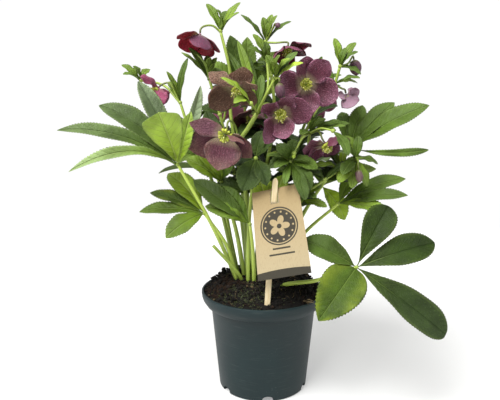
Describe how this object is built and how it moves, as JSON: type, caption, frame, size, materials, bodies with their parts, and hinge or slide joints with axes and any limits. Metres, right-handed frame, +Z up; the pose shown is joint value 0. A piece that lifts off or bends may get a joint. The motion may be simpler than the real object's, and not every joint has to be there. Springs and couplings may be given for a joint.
{
  "type": "potted hellebore plant",
  "caption": "Hellebore in flower in a round nursery pot: nodding cupped blooms and fingered leaves on upright stalks, with a plain card label on a flat stick",
  "frame": {"origin": "middle of the underside of the pot, on the surface that it stands on", "axes": "+Z up along the pot's axis, -Y the front of the plant with the label, +X to the right seen from the front"},
  "size_m": [0.3899, 0.2537, 0.4242],
  "materials": {
    "leaf": "leathery leaf, satin",
    "stem_and_bracts": "smooth green stem, satin",
    "sepals": "plum sepals with darker veins, matt",
    "bloom_eye": "yellow-green nectaries and stamens",
    "bud": "closed plum bud, matt",
    "pot": "moulded polypropylene, satin",
    "soil": "damp peat compost, rough",
    "label_card": "uncoated kraft card",
    "label_stick": "bare birch"
  },
  "bodies": {
    "root": {"leaf_left_upper": "leaf", "leaf_left_lower": "leaf", "leaf_left_centre": "leaf", "leaf_front_dark": "leaf", "leaf_front_light": "leaf", "leaf_front_centre": "leaf", "leaf_right_lower": "leaf", "leaf_right_middle": "leaf", "leaf_right_upper": "leaf", "leaf_right_back": "leaf", "leaf_back_right": "leaf", "leaf_back_middle": "leaf", "leaf_back_left": "leaf", "leaf_left_back": "leaf", "leaf_left_middle": "leaf", "leaf_top_back": "leaf", "stem_top_left": "stem_and_bracts", "stem_centre": "stem_and_bracts", "stem_top": "stem_and_bracts", "stem_right": "stem_and_bracts", "stem_left": "stem_and_bracts", "stem_far_left": "stem_and_bracts", "stem_right_low": "stem_and_bracts", "stem_right_bract": "stem_and_bracts", "stem_back": "stem_and_bracts", "stem_back_right": "stem_and_bracts", "bloom_top_left_sepals": "sepals", "bloom_top_left_eye": "bloom_eye", "bloom_top_right_sepals": "sepals", "bloom_top_right_eye": "bloom_eye", "bloom_right_sepals": "sepals", "bloom_right_eye": "bloom_eye", "bloom_centre_sepals": "sepals", "bloom_centre_eye": "bloom_eye", "bloom_left_low_sepals": "sepals", "bloom_left_low_eye": "bloom_eye", "bloom_left_high_sepals": "sepals", "bloom_left_high_eye": "bloom_eye", "bloom_far_left_sepals": "sepals", "bloom_far_left_eye": "bloom_eye", "bloom_far_right_sepals": "sepals", "bloom_far_right_eye": "bloom_eye", "bloom_right_low_sepals": "sepals", "bloom_right_low_eye": "bloom_eye", "bloom_behind_sepals": "sepals", "bloom_behind_eye": "bloom_eye", "bloom_back_left_sepals": "sepals", "bloom_back_left_eye": "bloom_eye", "bloom_back_middle_sepals": "sepals", "bloom_back_middle_eye": "bloom_eye", "bloom_back_right_sepals": "sepals", "bloom_back_right_eye": "bloom_eye", "bud_right": "bud", "bud_centre": "bud", "bud_top": "bud", "bud_withered": "bud", "pot": "pot", "label_card": "label_card", "label_stick": "label_stick", "soil": "soil"}
  },
  "joints": []
}
